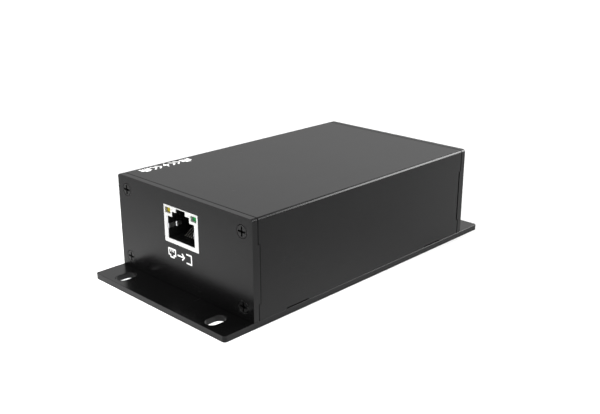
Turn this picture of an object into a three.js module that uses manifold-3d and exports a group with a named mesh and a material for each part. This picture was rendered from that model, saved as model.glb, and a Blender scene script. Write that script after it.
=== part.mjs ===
// Power-over-Ethernet injector in a flanged aluminium box.
// Millimetres, +Z up. The origin is on the underside of the base plate, at its centre.
// The front panel, with the input socket, faces -Y; the rear panel faces +Y.

import * as THREE from 'three';
import { mergeVertices } from 'three/addons/utils/BufferGeometryUtils.js';
import Module from 'manifold-3d';

const wasm = await Module();
wasm.setup();

// ---------------------------------------------------------------- driving dimensions

const WIDTH = 65;            // whole part, along X
const LENGTH = 128;          // base plate, along Y
const HEIGHT = 34;           // whole part, along Z
const PLATE = 2;             // base plate thickness
const FLANGE = 11.4;         // base plate beyond each end panel
const PLATE_CORNER = 1.1;    // radius of the base plate's corners
const SLOT = { x: 22.65, y: 58.8, width: 4.6, length: 7.2 };

const BOX_END = LENGTH / 2 - FLANGE;   // outer face of the end panels
const PANEL = 2;                       // end panel thickness
const SEAM = 0.2;                      // gap between an end panel and the cover
const TAB = { low: 7.5, high: 26, reach: 0.65, gap: 0.1, play: 0.1 };
const FIT = 0.05;                      // gap between faces that rest on each other
const COVER_END = BOX_END - PANEL - SEAM;
const WALL = 1.8;                      // cover wall
const EDGE_R = 1.0;                    // rounding of the long top edges
const RELIEF = { y: 34.45, length: 9.5, height: 0.5, depth: 4 };

const BOSS = { x: 27.95, low: 5.85, high: 29.35, r: 3, bore: 1.3, slit: 1.2 };
const RAIL = { inner: 25.2, top: 8.6 };
const FLAT_SCREW = { head: 2, sunk: 0.04, rim: 0.04, shank: 1.2, length: 8, sink: 2.18, hole: 1.4 };
const BASE_SCREW = { head: 2.7, sunk: 0.04, rim: 0.04, shank: 1.5, length: 6.5, sink: 2.9, hole: 1.65 };
const CROSS = { reach: 1.5, width: 0.55, depth: 0.85 };

const BOARD = { halfWidth: 24.5, halfLength: 49.9, bottom: 15.2, thick: 1.6, corner: 1 };
const BOARD_TOP = BOARD.bottom + BOARD.thick;
const STANDOFF = { x: 21, y: 45.5, flats: 5.5, shank: 2, bore: 1.35, boreDepth: 6 };
const SEAT = 0.1;                      // gap under a component's body

const JACK = { z: 16.95, width: 16.6, height: 12.25, depth: 18, sheet: 0.25, outputX: 9 };
const CAVITY = { half: 6.45, low: 1.4, high: 8.75, stepHalf: 4.2, stepHigh: 10.55, latchHalf: 2.2 };
const LATCH_HIGH = 11.9;
const CAVITY_DEPTH = 13;
const LAMP = { inner: 4.95, outer: 7.65, low: 9.65, high: 11.5, recess: 0.9, back: 15, play: 0.1 };
const FINGER = { low: 4.65, high: 6.25, wall: 6.4, face: 6.1, crest: 5.85, end: 5.2 };
const WIRES = { count: 8, pitch: 1.02, width: 0.36, thick: 0.33, front: 4.2, bend: 7.9, back: 10.3, top: 4 };
const COMB = { half: 5.3, front: 10.2, back: 12.9, top: 4.1 };

const DC = { x: -12, pitch: 5.08, pinZ: 21.15 };
const HEADER = { half: 5.6, low: 16.9, high: 25.4, front: 40.4, mouth: 52.5, back: 1.6, wall: 0.8 };
const PLUG = { half: 5.5, low: 16.2, high: 27.2, front: 52.95, end: 62 };
const TONGUE = { half: 4.5, low: 17.9, high: 24.4, front: 43.6 };
const CLAMP = { y: 57.5, halfX: 1.9, halfY: 2.5, low: 17.1, high: 22.9, windowLow: 17.9, windowHigh: 21.7 };
const CLAMP_RISE = 1.5;
const POCKET_PLAY = 0.2;
const TERMINAL_SCREW = { head: 1.85, headLow: 25.05, headHigh: 26.8, shank: 1.2, tip: 21.45, ledge: 24.5 };

const EARTH = { x: -26, z: 17.6, hole: 1.65, washer: 3.5, washerThick: 0.6, head: 2.8, headHigh: 2 };

const SIDES = [-1, 1];
const FINE = 24;             // sides of a large round piece
const ROUND = 16;            // sides of a small round piece
const INNER = 12;            // sides of a round piece inside the box

// ---------------------------------------------------------------- helpers

function solid(geometry) {
  const bare = geometry.clone();
  bare.deleteAttribute('normal');
  bare.deleteAttribute('uv');
  const merged = mergeVertices(bare, 1e-5);
  return new wasm.Manifold(new wasm.Mesh({
    numProp: 3,
    vertProperties: Float32Array.from(merged.attributes.position.array),
    triVerts: Uint32Array.from(merged.index.array),
  }));
}

function geometryOf(body) {
  const mesh = body.getMesh();
  const geometry = new THREE.BufferGeometry();
  geometry.setAttribute('position', new THREE.BufferAttribute(Float32Array.from(mesh.vertProperties), 3));
  geometry.setIndex(new THREE.BufferAttribute(Uint32Array.from(mesh.triVerts), 1));
  geometry.computeVertexNormals();
  return geometry;
}

function join(...bodies) {
  return bodies.reduce((sum, body) => sum.add(body));
}

function cut(body, ...tools) {
  return tools.reduce((rest, tool) => rest.subtract(tool), body);
}

function box([x0, x1], [y0, y1], [z0, z1]) {
  const geometry = new THREE.BoxGeometry(x1 - x0, y1 - y0, z1 - z0);
  geometry.translate((x0 + x1) / 2, (y0 + y1) / 2, (z0 + z1) / 2);
  return solid(geometry);
}

function shapeOf(points) {
  return new THREE.Shape(points.map(([u, v]) => new THREE.Vector2(u, v)));
}

function roundedRectangle(halfU, halfV, radius) {
  const shape = new THREE.Shape();
  const quarter = Math.PI / 2;
  shape.absarc(halfU - radius, halfV - radius, radius, 0, quarter);
  shape.absarc(radius - halfU, halfV - radius, radius, quarter, 2 * quarter);
  shape.absarc(radius - halfU, radius - halfV, radius, 2 * quarter, 3 * quarter);
  shape.absarc(halfU - radius, radius - halfV, radius, 3 * quarter, 4 * quarter);
  return shape;
}

// A shape drawn in X and Y, raised from z0 to z1, with an optional chamfer.
function prismZ(shape, [z0, z1], chamfer = 0, curveSegments = 5) {
  const geometry = new THREE.ExtrudeGeometry(shape, {
    depth: z1 - z0 - 2 * chamfer,
    curveSegments,
    bevelEnabled: chamfer > 0,
    bevelThickness: chamfer,
    bevelSize: chamfer,
    bevelOffset: -chamfer,
    bevelSegments: 1,
  });
  geometry.translate(0, 0, z0 + chamfer);
  return solid(geometry);
}

// A shape drawn in X and Z, swept from y0 to y1.
function prismY(shape, [y0, y1], curveSegments = 6) {
  const geometry = new THREE.ExtrudeGeometry(shape, { depth: y1 - y0, curveSegments, bevelEnabled: false });
  geometry.rotateX(Math.PI / 2);
  geometry.translate(0, y1, 0);
  return solid(geometry);
}

// A shape drawn in Y and Z, swept from x0 to x1.
function prismX(shape, [x0, x1]) {
  const geometry = new THREE.ExtrudeGeometry(shape, { depth: x1 - x0, bevelEnabled: false });
  const alongX = new THREE.Matrix4().makeBasis(
    new THREE.Vector3(0, 1, 0), new THREE.Vector3(0, 0, 1), new THREE.Vector3(1, 0, 0));
  geometry.applyMatrix4(alongX);
  geometry.translate(x0, 0, 0);
  return solid(geometry);
}

// A profile of [radius, height] points, listed upwards, turned about the Z axis.
function turned(profile, sides = ROUND) {
  const points = profile.map(([r, h]) => new THREE.Vector2(r, h));
  const geometry = new THREE.LatheGeometry(points, sides);
  geometry.rotateX(Math.PI / 2);
  return solid(geometry);
}

function rod(radius, [z0, z1], x = 0, y = 0, sides = ROUND) {
  return turned([[0, z0], [radius, z0], [radius, z1], [0, z1]], sides).translate([x, y, 0]);
}

function rodY(radius, [y0, y1], x, z, sides = ROUND) {
  return rod(radius, [y0, y1], 0, 0, sides).rotate([-90, 0, 0]).translate([x, 0, z]);
}

// The span from a to b on the +X or -X side, lowest first.
function span(side, a, b) {
  return side > 0 ? [a, b] : [-b, -a];
}

function finish(color, roughness, metalness) {
  return new THREE.MeshStandardMaterial({ color, roughness, metalness, flatShading: true });
}

const injector = new THREE.Group();
const UP_TO_BACK = [-Math.PI / 2, 0, 0];   // turns a piece's +Z to +Y
const UP_TO_FRONT = [Math.PI / 2, 0, 0];   // turns a piece's +Z to -Y

function place(parent, name, body, material, position = [0, 0, 0], rotation = [0, 0, 0]) {
  const mesh = new THREE.Mesh(geometryOf(body), material);
  mesh.name = name;
  mesh.position.set(...position);
  mesh.rotation.set(...rotation);
  parent.add(mesh);
}

// The four places at plus and minus x and plus and minus y.
function corners(x, y) {
  return [[-x, -y], [x, -y], [-x, y], [x, y]];
}

// ---------------------------------------------------------------- finishes

const blackAnodised = finish(0x1d1d1f, 0.35, 0.3);
const blackSteel = finish(0x161616, 0.4, 0.6);
const zincSteel = finish(0xb8bcc0, 0.35, 0.9);
const nickel = finish(0xf0f0f0, 0.25, 1);
const gold = finish(0xd9a93c, 0.3, 1);
const tin = finish(0xc9ccd0, 0.3, 1);
const brass = finish(0xc2a14e, 0.35, 0.9);
const aluminium = finish(0xaeb2b6, 0.4, 0.9);
const blackPlastic = finish(0x121212, 0.5, 0);
const greenPlastic = finish(0x2f8a4b, 0.5, 0);
const yellowLens = finish(0xb9a33a, 0.3, 0);
const greenLens = finish(0x2f9a4e, 0.3, 0);
const fibreglass = finish(0x1f5a35, 0.5, 0);
const ferrite = finish(0x2b2c2e, 0.7, 0);
const windingTape = finish(0xc9a227, 0.5, 0);
const copper = finish(0xb06a3a, 0.4, 0.9);
const capSleeve = finish(0x1b2a4a, 0.4, 0);
const ceramic = finish(0xe4e0d6, 0.5, 0);
const clearFilm = finish(0xd8dadc, 0.4, 0);

// ---------------------------------------------------------------- enclosure

// A countersunk hole that goes up from z = 0 through a sheet.
function screwHole({ sink, hole }, thickness) {
  const above = 0.2;
  return turned([[0, -above], [sink + above, -above], [hole, sink - hole], [hole, thickness + 1],
    [0, thickness + 1]]);
}

function basePlate() {
  const outline = roundedRectangle(WIDTH / 2, LENGTH / 2, PLATE_CORNER);
  const slot = roundedRectangle(SLOT.width / 2, SLOT.length / 2, SLOT.width / 2);
  const slots = corners(SLOT.x, SLOT.y).map(([x, y]) => prismZ(slot, [-1, PLATE + 1]).translate([x, y, 0]));
  const sinks = corners(BOSS.x, RELIEF.y).map(([x, y]) => screwHole(BASE_SCREW, PLATE).translate([x, y, 0]));
  const shanks = corners(STANDOFF.x, STANDOFF.y).map(
    ([x, y]) => rod(STANDOFF.shank + 0.1, [-1, PLATE + 1], x, y, INNER));
  return cut(prismZ(outline, [0, PLATE]), ...slots, ...sinks, ...shanks);
}

// The inverted channel that makes the top and both sides, with its screw channels and foot rails.
function cover() {
  const half = WIDTH / 2;
  const foot = PLATE + FIT;
  const outer = new THREE.Shape();
  outer.moveTo(-half, foot);
  outer.lineTo(half, foot);
  outer.lineTo(half, HEIGHT - EDGE_R);
  outer.absarc(half - EDGE_R, HEIGHT - EDGE_R, EDGE_R, 0, Math.PI / 2);
  outer.absarc(EDGE_R - half, HEIGHT - EDGE_R, EDGE_R, Math.PI / 2, Math.PI);
  outer.closePath();
  const ends = [-COVER_END, COVER_END];
  const past = [-COVER_END - 1, COVER_END + 1];
  const hollow = box([WALL - half, half - WALL], past, [0, HEIGHT - WALL]);
  let body = cut(prismY(outer, ends), hollow);
  const endNotch = PANEL + TAB.reach + TAB.gap;
  for (const side of SIDES) {
    const x = side * BOSS.x;
    const slitSpan = span(side, RAIL.inner - 1, BOSS.x);
    body = join(body,
      rodY(BOSS.r, ends, x, BOSS.high, FINE).intersect(
        box(span(side, RAIL.inner - 1, half - 0.1), past, [BOSS.high - BOSS.r, HEIGHT - 0.1])),
      box(span(side, RAIL.inner, half - 0.1), ends, [foot, RAIL.top]));
    body = cut(body,
      rodY(BOSS.bore, past, x, BOSS.high, INNER), rodY(BOSS.bore, past, x, BOSS.low, INNER),
      box(slitSpan, past, [BOSS.high - BOSS.slit / 2, BOSS.high + BOSS.slit / 2]),
      box(slitSpan, past, [BOSS.low - BOSS.slit / 2, BOSS.low + BOSS.slit / 2]));
    for (const end of SIDES) {
      const y = end * RELIEF.y;
      body = cut(body,
        rod(BASE_SCREW.shank + 0.1, [0, 7], x, y, INNER),
        box(span(side, half - RELIEF.depth, half + 1), [y - RELIEF.length / 2, y + RELIEF.length / 2],
          [0, PLATE + RELIEF.height]),
        box(span(side, half - WALL - 1, half + 1), span(end, BOX_END - endNotch, BOX_END),
          [TAB.low - TAB.play, TAB.high + TAB.play]));
    }
  }
  return body;
}

// An end panel drawn as the front one: its outer face is at y = 0 and it is seen from -Y.
function endPanel(cutouts) {
  const half = WIDTH / 2;
  const outline = new THREE.Shape();
  outline.moveTo(-half, PLATE + FIT);
  outline.lineTo(half, PLATE + FIT);
  outline.lineTo(half, HEIGHT - EDGE_R);
  outline.absarc(half - EDGE_R, HEIGHT - EDGE_R, EDGE_R, 0, Math.PI / 2);
  outline.absarc(EDGE_R - half, HEIGHT - EDGE_R, EDGE_R, Math.PI / 2, Math.PI);
  outline.closePath();
  let body = prismY(outline, [0, PANEL]);
  for (const side of SIDES) {
    body = join(body,
      box(span(side, half - WALL, half), [PANEL - 0.5, PANEL + TAB.reach], [TAB.low, TAB.high]));
    for (const z of [BOSS.low, BOSS.high]) {
      body = cut(body, screwHole(FLAT_SCREW, PANEL).rotate([-90, 0, 0]).translate([side * BOSS.x, 0, z]));
    }
  }
  return cut(body, ...cutouts);
}

function jackCutout(x) {
  const reach = JACK.width / 2 + 0.12;
  return box([x - reach, x + reach], [-1, PANEL + 1], [JACK.z - 0.12, JACK.z + JACK.height + 0.12]);
}

// A countersunk screw along +Z from its head's face, with a cross recess.
function flatScrew({ head, sunk, rim, shank, length }) {
  const cone = head - shank;
  const body = turned([[0, sunk], [head, sunk], [head, sunk + rim], [shank, sunk + rim + cone],
    [shank, length - shank / 2], [shank / 2, length], [0, length]]);
  const arm = CROSS.width / 2;
  return cut(body,
    box([-CROSS.reach, CROSS.reach], [-arm, arm], [-1, sunk + CROSS.depth]),
    box([-arm, arm], [-CROSS.reach, CROSS.reach], [-1, sunk + CROSS.depth]));
}

// A pan-head screw whose head sits at z = 0 and whose shank runs down.
function panScrew(head, headHigh, shank, length, sides) {
  const body = turned([[0, -length], [shank / 2, -length], [shank, shank / 2 - length], [shank, 0], [head, 0],
    [head, headHigh * 0.5], [head * 0.85, headHigh * 0.85], [head * 0.5, headHigh], [0, headHigh]], sides);
  const arm = CROSS.width / 2;
  const deep = [headHigh - CROSS.depth, headHigh + 1];
  return cut(body,
    box([-CROSS.reach, CROSS.reach], [-arm, arm], deep),
    box([-arm, arm], [-CROSS.reach, CROSS.reach], deep));
}

function addEnclosure() {
  place(injector, 'base_plate', basePlate(), blackAnodised);
  place(injector, 'cover', cover(), blackAnodised);
  place(injector, 'front_panel', endPanel([jackCutout(0)]), blackAnodised, [0, -BOX_END, 0]);
  const terminalCutout = box([-DC.x - HEADER.half - 0.15, -DC.x + HEADER.half + 0.15], [-1, PANEL + 1],
    [HEADER.low - 0.2, HEADER.high + 0.2]);
  const earthHole = rodY(EARTH.hole, [-1, PANEL + 1], -EARTH.x, EARTH.z);
  const rearCutouts = [jackCutout(-JACK.outputX), terminalCutout, earthHole];
  place(injector, 'rear_panel', endPanel(rearCutouts), blackAnodised, [0, BOX_END, 0], [0, 0, Math.PI]);
  const panelScrew = flatScrew(FLAT_SCREW);
  corners(BOSS.x, 1).forEach(([x, level], i) => {
    const z = level < 0 ? BOSS.low : BOSS.high;
    place(injector, `front_screw_${i + 1}`, panelScrew, blackSteel, [x, -BOX_END, z], UP_TO_BACK);
    place(injector, `rear_screw_${i + 1}`, panelScrew, blackSteel, [x, BOX_END, z], UP_TO_FRONT);
  });
  const baseScrew = flatScrew(BASE_SCREW);
  corners(BOSS.x, RELIEF.y).forEach(([x, y], i) => {
    place(injector, `base_screw_${i + 1}`, baseScrew, blackSteel, [x, y, 0]);
  });
  const film = cut(box([-22.5, 22.5], [-47, 47], [PLATE + 0.1, PLATE + 0.4]),
    ...corners(STANDOFF.x, STANDOFF.y).map(([x, y]) => rod(3.5, [0, 5], x, y, INNER)));
  place(injector, 'insulation_sheet', film, clearFilm);
}

// ---------------------------------------------------------------- circuit board

function pinPlaces() {
  return SIDES.map((side) => DC.x + side * DC.pitch / 2);
}

function circuitBoard() {
  const outline = roundedRectangle(BOARD.halfWidth, BOARD.halfLength, BOARD.corner);
  const through = [BOARD.bottom - 1, BOARD_TOP + 1];
  const screwHoles = corners(STANDOFF.x, STANDOFF.y).map(([x, y]) => rod(1.45, through, x, y, INNER));
  const pinHoles = pinPlaces().map((x) => box([x - 0.65, x + 0.65], [39.05, 40.35], through));
  return cut(prismZ(outline, [BOARD.bottom, BOARD_TOP], 0, 3), ...screwHoles, ...pinHoles);
}

function boardStandoff() {
  const top = BOARD.bottom - FIT;
  const hexRadius = STANDOFF.flats / Math.sqrt(3);
  return cut(
    join(rod(hexRadius, [PLATE + FIT, top], 0, 0, 6), rod(STANDOFF.shank, [0.1, PLATE + 1], 0, 0, INNER)),
    rod(STANDOFF.bore, [top - STANDOFF.boreDepth, top + 1], 0, 0, INNER));
}

function addBoard() {
  place(injector, 'circuit_board', circuitBoard(), fibreglass);
  const standoff = boardStandoff();
  const screw = panScrew(2.4, 1.7, 1.25, 6.5, INNER);
  corners(STANDOFF.x, STANDOFF.y).forEach(([x, y], i) => {
    place(injector, `board_standoff_${i + 1}`, standoff, zincSteel, [x, y, 0]);
    place(injector, `board_screw_${i + 1}`, screw, zincSteel, [x, y, BOARD_TOP + FIT]);
  });
}

// ---------------------------------------------------------------- modular sockets

// The stepped mouth of a modular socket, drawn in X and Z.
function mouth(top) {
  const { half, low, high, stepHalf, stepHigh, latchHalf } = CAVITY;
  return shapeOf([[-half, low], [half, low], [half, high], [stepHalf, high], [stepHalf, stepHigh],
    [latchHalf, stepHigh], [latchHalf, top], [-latchHalf, top], [-latchHalf, stepHigh],
    [-stepHalf, stepHigh], [-stepHalf, high], [-half, high]]);
}

// The spring finger folded into the mouth on each side of the shield.
function finger(side) {
  const { low, high, wall, face, crest, end } = FINGER;
  const outline = [[wall + 0.3, 0], [face, 0], [face, 2.3], [crest + 0.06, 2.58], [crest, 2.76],
    [crest + 0.06, 2.94], [face, 3.3], [wall - 0.1, end], [wall, end], [wall, JACK.sheet],
    [wall + 0.3, JACK.sheet]];
  const points = outline.map(([x, y]) => [side * x, y]);
  return prismZ(shapeOf(side > 0 ? points : points.reverse()), [low, high]);
}

function jackShield() {
  const { width, height, depth, sheet } = JACK;
  const half = width / 2;
  const shell = cut(box([-half, half], [0, depth], [0, height]),
    box([sheet - half, half - sheet], [sheet, depth - sheet], [-1, height - sheet]),
    prismY(mouth(LATCH_HIGH), [-1, 2 * sheet]),
    ...SIDES.map((side) => box(span(side, LAMP.inner, LAMP.outer), [-1, 2 * sheet], [LAMP.low, LAMP.high])));
  return join(shell, finger(-1), finger(1));
}

function jackHousing() {
  const { width, height, depth, sheet } = JACK;
  const half = width / 2 - sheet - 0.1;
  return cut(box([-half, half], [sheet + FIT, depth - sheet - 0.15], [0.3, height - sheet - FIT]),
    prismY(mouth(height + 1), [-1, CAVITY_DEPTH]),
    ...SIDES.map((side) => box(span(side, LAMP.inner, LAMP.outer), [-1, LAMP.back + LAMP.play],
      [LAMP.low, LAMP.high])));
}

// Eight spring wires that rise from the mouth's floor into a comb at its back.
function jackContacts() {
  const { count, pitch, width, thick, front, bend, back, top } = WIRES;
  const floor = CAVITY.low + 0.07;
  const wire = shapeOf([[front, floor], [front + 0.5, floor], [bend, top - thick], [back, top - thick],
    [back, top], [bend - 0.15, top], [front + 0.35, floor + thick], [front, floor + thick]]);
  let body = box([-COMB.half, COMB.half], [COMB.front, COMB.back], [CAVITY.low + FIT, COMB.top]);
  for (let i = 0; i < count; i++) {
    const x = (i - (count - 1) / 2) * pitch;
    body = join(body, prismX(wire, [x - width / 2, x + width / 2]));
  }
  return body;
}

function lamp(side) {
  const { inner, outer, low, high, recess, back, play } = LAMP;
  return box(span(side, inner + play, outer - play), [recess, back], [low + play, high - play]);
}

function addJack(name, position, turn) {
  const jack = new THREE.Group();
  jack.position.set(...position);
  jack.rotation.z = turn;
  place(jack, `${name}_jack_shield`, jackShield(), nickel);
  place(jack, `${name}_jack_housing`, jackHousing(), blackPlastic);
  place(jack, `${name}_jack_contacts`, jackContacts(), gold);
  place(jack, `${name}_jack_yellow_lamp`, lamp(-1), yellowLens);
  place(jack, `${name}_jack_green_lamp`, lamp(1), greenLens);
  injector.add(jack);
}

// ---------------------------------------------------------------- power terminal

function header() {
  const { half, low, high, front, mouth: end, back, wall } = HEADER;
  const body = cut(box([-half, half], [front, end], [low, high]),
    box([wall - half, half - wall], [front + back, end + 1], [low + wall, high - wall]));
  const pinHoles = SIDES.map((side) => box(
    [side * DC.pitch / 2 - 0.55, side * DC.pitch / 2 + 0.55], [front - 1, front + back + 1],
    [DC.pinZ - 0.55, DC.pinZ + 0.55]));
  return cut(body, ...pinHoles);
}

function headerPin() {
  return join(box([-0.5, 0.5], [39.2, 50], [DC.pinZ - 0.5, DC.pinZ + 0.5]),
    box([-0.5, 0.5], [39.2, 40.2], [13.4, DC.pinZ]));
}

function plugHousing() {
  const pocket = {
    x: CLAMP.halfX + POCKET_PLAY,
    y: [CLAMP.y - CLAMP.halfY - 2 * POCKET_PLAY, CLAMP.y + CLAMP.halfY + 2 * POCKET_PLAY],
    z: [CLAMP.low - POCKET_PLAY, TERMINAL_SCREW.ledge],
  };
  let body = join(box([-PLUG.half, PLUG.half], [PLUG.front, PLUG.end], [PLUG.low, PLUG.high]),
    box([-TONGUE.half, TONGUE.half], [TONGUE.front, PLUG.front + 1], [TONGUE.low, TONGUE.high]));
  for (const side of SIDES) {
    const x = side * DC.pitch / 2;
    body = cut(body,
      box([x - pocket.x, x + pocket.x], pocket.y, pocket.z),
      box([x - 1.1, x + 1.1], [TONGUE.front - 1, CLAMP.y], [DC.pinZ - 1.1, DC.pinZ + 1.1]),
      box([x - 1.7, x + 1.7], [CLAMP.y, PLUG.end + 1], [17.5, 21.3]),
      rod(1.4, [pocket.z[1] - 1, PLUG.high + 1], x, CLAMP.y),
      rod(2, [TERMINAL_SCREW.headLow - FIT, PLUG.high + 1], x, CLAMP.y, FINE));
  }
  return body;
}

// A contact bar that the wire is clamped to, with a square socket for the header's pin.
function plugContact() {
  const z = DC.pinZ;
  return join(
    cut(box([-1, 1], [TONGUE.front + 0.5, 54], [z - 1, z + 1]),
      box([-0.65, 0.65], [TONGUE.front - 1, 51], [z - 0.65, z + 0.65])),
    box([-1, 1], [54, CLAMP.y + CLAMP.halfY + 0.2], [20.6, 21.35]));
}

function plugClamp() {
  const { halfX, halfY, low, high, windowLow, windowHigh } = CLAMP;
  return cut(box([-halfX, halfX], [CLAMP.y - halfY, CLAMP.y + halfY], [low, high]),
    box([-1.4, 1.4], [CLAMP.y - halfY - 1, CLAMP.y + halfY + 1], [windowLow, windowHigh]),
    rod(TERMINAL_SCREW.shank + 0.06, [windowHigh - 1, high + 1], 0, CLAMP.y));
}

function plugScrew() {
  const { head, headLow, headHigh, shank, tip } = TERMINAL_SCREW;
  const body = turned([[0, tip], [shank, tip], [shank, headLow], [head, headLow],
    [head, headHigh - 0.2], [head - 0.2, headHigh], [0, headHigh]], FINE);
  return cut(body, box([-head - 1, head + 1], [-0.3, 0.3], [headHigh - 0.9, headHigh + 1]));
}

function addPowerTerminal() {
  place(injector, 'dc_header', header(), greenPlastic, [DC.x, 0, 0]);
  place(injector, 'dc_plug', plugHousing(), greenPlastic, [DC.x, 0, 0]);
  pinPlaces().forEach((x, i) => {
    place(injector, `dc_header_pin_${i + 1}`, headerPin(), tin, [x, 0, 0]);
    place(injector, `dc_plug_contact_${i + 1}`, plugContact(), tin, [x, 0, 0]);
    place(injector, `dc_plug_clamp_${i + 1}`, plugClamp(), zincSteel, [x, 0, 0]);
    place(injector, `dc_plug_screw_${i + 1}`, plugScrew(), zincSteel, [x, CLAMP.y, 0]);
  });
}

// ---------------------------------------------------------------- earth stud

function addEarthScrew() {
  const washer = cut(rod(EARTH.washer, [0, EARTH.washerThick], 0, 0, FINE), rod(EARTH.hole, [-1, 2]));
  const screw = panScrew(EARTH.head, EARTH.headHigh, 1.5, 7, ROUND);
  const face = BOX_END + FIT;
  place(injector, 'earth_washer', washer, brass, [EARTH.x, face, EARTH.z], UP_TO_BACK);
  place(injector, 'earth_screw', screw, brass, [EARTH.x, face + EARTH.washerThick + FIT, EARTH.z],
    UP_TO_BACK);
}

// ---------------------------------------------------------------- parts on the board

function transformerCore() {
  const frame = box([-9.5, 9.5], [-3.5, 3.5], [0, 12.5]);
  return cut(frame, ...SIDES.map((side) => box(
    span(side, 2.5, 6.8), [-5, 5], [3, 10])));
}

function transformerWinding() {
  return cut(prismZ(roundedRectangle(6.5, 8, 2.4), [3.2, 9.8]), box([-2.7, 2.7], [-3.7, 3.7], [0, 12]));
}

function capacitor() {
  return turned([[0, 0], [4.6, 0], [5, 0.4], [5, 1.6], [4.6, 2], [5, 2.4], [5, 12.6], [4.6, 13], [0, 13]]);
}

function magnetics() {
  return prismZ(roundedRectangle(6.3, 8, 0.6), [0, 6], 0.3, 2);
}

function inductor() {
  return prismZ(roundedRectangle(6.2, 6.2, 2.2), [0, 7.5], 0.5);
}

function controllerChip() {
  let body = prismZ(roundedRectangle(3.75, 5.1, 0.3), [0.2, 2.5], 0.2, 1);
  for (let i = 0; i < 8; i++) {
    const y = (i - 3.5) * 1.27;
    body = join(body, box([-5.1, 5.1], [y - 0.2, y + 0.2], [0.9, 1.15]),
      ...SIDES.map((side) => box(span(side, 4.85, 5.1), [y - 0.2, y + 0.2], [0, 1])));
  }
  return body;
}

function heatSpreader() {
  return cut(join(box([0, 1.8], [-10, 10], [0, 13]), box([-4, 1], [-10, 10], [0, 1.5])),
    box([-5, -1.5], [-6.2, 6.2], [-1, 3]));
}

function powerTransistor() {
  return join(box([-4.6, -1.4], [-5, 5], [2, 11]), box([-1.4, -0.1], [-5, 5], [2, 12.6]),
    ...[-2.54, 0, 2.54].map((y) => box([-3.3, -2.7], [y - 0.4, y + 0.4], [0, 2.5])));
}

function fuse() {
  return turned([[0, 0], [2.6, 0], [2.6, 5], [2.4, 5], [2.4, 15], [2.6, 15], [2.6, 20], [0, 20]], INNER);
}

function addComponents() {
  const z = BOARD_TOP + SEAT;
  place(injector, 'transformer_core', transformerCore(), ferrite, [7, -4, z]);
  place(injector, 'transformer_winding', transformerWinding(), windingTape, [7, -4, z]);
  place(injector, 'power_inductor', inductor(), copper, [-14, -2, z]);
  place(injector, 'bulk_capacitor_1', capacitor(), capSleeve, [-14, 17, z]);
  place(injector, 'bulk_capacitor_2', capacitor(), capSleeve, [-14, 30, z]);
  place(injector, 'input_magnetics', magnetics(), blackPlastic, [-13, -22, z]);
  place(injector, 'output_magnetics', magnetics(), blackPlastic, [11, 22, z]);
  place(injector, 'controller_chip', controllerChip(), blackPlastic, [-2, 12, z]);
  place(injector, 'heat_spreader', heatSpreader(), aluminium, [22, -24, z]);
  place(injector, 'power_transistor', powerTransistor(), blackPlastic, [22, -24, z]);
  place(injector, 'board_fuse', fuse(), ceramic, [-2, 43, z + 2.6], [Math.PI / 2, 0, 0]);
}

// ---------------------------------------------------------------- the whole part

addEnclosure();
addBoard();
addJack('input', [0, -BOX_END, JACK.z], 0);
addJack('output', [JACK.outputX, BOX_END, JACK.z], Math.PI);
addPowerTerminal();
addEarthScrew();
addComponents();

export default injector;
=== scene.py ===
import math
from types import SimpleNamespace as Group

import bmesh
import bpy
from mathutils import Matrix, Vector


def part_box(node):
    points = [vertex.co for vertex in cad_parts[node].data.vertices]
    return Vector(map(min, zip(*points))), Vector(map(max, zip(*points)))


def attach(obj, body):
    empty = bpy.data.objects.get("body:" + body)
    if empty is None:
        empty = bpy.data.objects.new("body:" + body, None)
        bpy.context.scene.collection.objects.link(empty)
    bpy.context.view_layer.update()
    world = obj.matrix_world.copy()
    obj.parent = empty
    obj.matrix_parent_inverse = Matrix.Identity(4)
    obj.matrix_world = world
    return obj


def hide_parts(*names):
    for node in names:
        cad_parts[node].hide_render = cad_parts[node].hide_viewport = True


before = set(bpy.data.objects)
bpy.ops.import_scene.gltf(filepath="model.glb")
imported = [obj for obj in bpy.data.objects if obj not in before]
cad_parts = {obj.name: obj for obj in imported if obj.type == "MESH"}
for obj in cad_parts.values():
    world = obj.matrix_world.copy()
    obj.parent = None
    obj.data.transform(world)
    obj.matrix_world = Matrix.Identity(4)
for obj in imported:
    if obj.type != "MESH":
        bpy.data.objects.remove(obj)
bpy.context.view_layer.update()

# Sizes below are in millimetres; meshes are scaled to metres when they become pieces.
MM = 0.001
X, Y, Z = 0, 1, 2
ROOT = "chassis"
SAME_POINT = 1e-4         # points closer than this are merged
PAST = 1                  # how far a cutter runs past what it cuts
CLEAR = 0.05              # the gap between parts that fit in each other
SHARP_ANGLE = math.radians(32)    # faces that meet at more than this are shaded with an edge


# ---- reading the frame

def node_box(node):
    """The lowest and highest corners of a CAD node, in millimetres."""
    low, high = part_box(node)
    return Vector(low) / MM, Vector(high) / MM


def node_centre(node):
    low, high = node_box(node)
    return (low + high) / 2


FRONT_FACE = node_box("front_panel")[0].y
REAR_FACE = node_box("rear_panel")[1].y


# ---- outlines

def arc(centre, radius, start, end, steps):
    """Points on an arc, with its angles in degrees."""
    u, v = centre
    angles = [math.radians(start + (end - start) * i / steps) for i in range(steps + 1)]
    return [(u + radius * math.cos(a), v + radius * math.sin(a)) for a in angles]


def rounded_rectangle(half_u, half_v, radius, centre=(0, 0), steps=10):
    u, v = centre
    points = []
    for quarter, (su, sv) in enumerate(((1, 1), (-1, 1), (-1, -1), (1, -1))):
        corner = (u + su * (half_u - radius), v + sv * (half_v - radius))
        points += arc(corner, radius, 90 * quarter, 90 * quarter + 90, steps)
    return points


def circle(radius, centre=(0, 0), steps=48):
    return arc(centre, radius, 0, 360 - 360 / steps, steps - 1)


def both_sides(half_outline):
    """An outline from its right half, listed from bottom to top."""
    return half_outline + [(-u, v) for u, v in reversed(half_outline)]


def about(centre, half):
    return centre - half, centre + half


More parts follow.
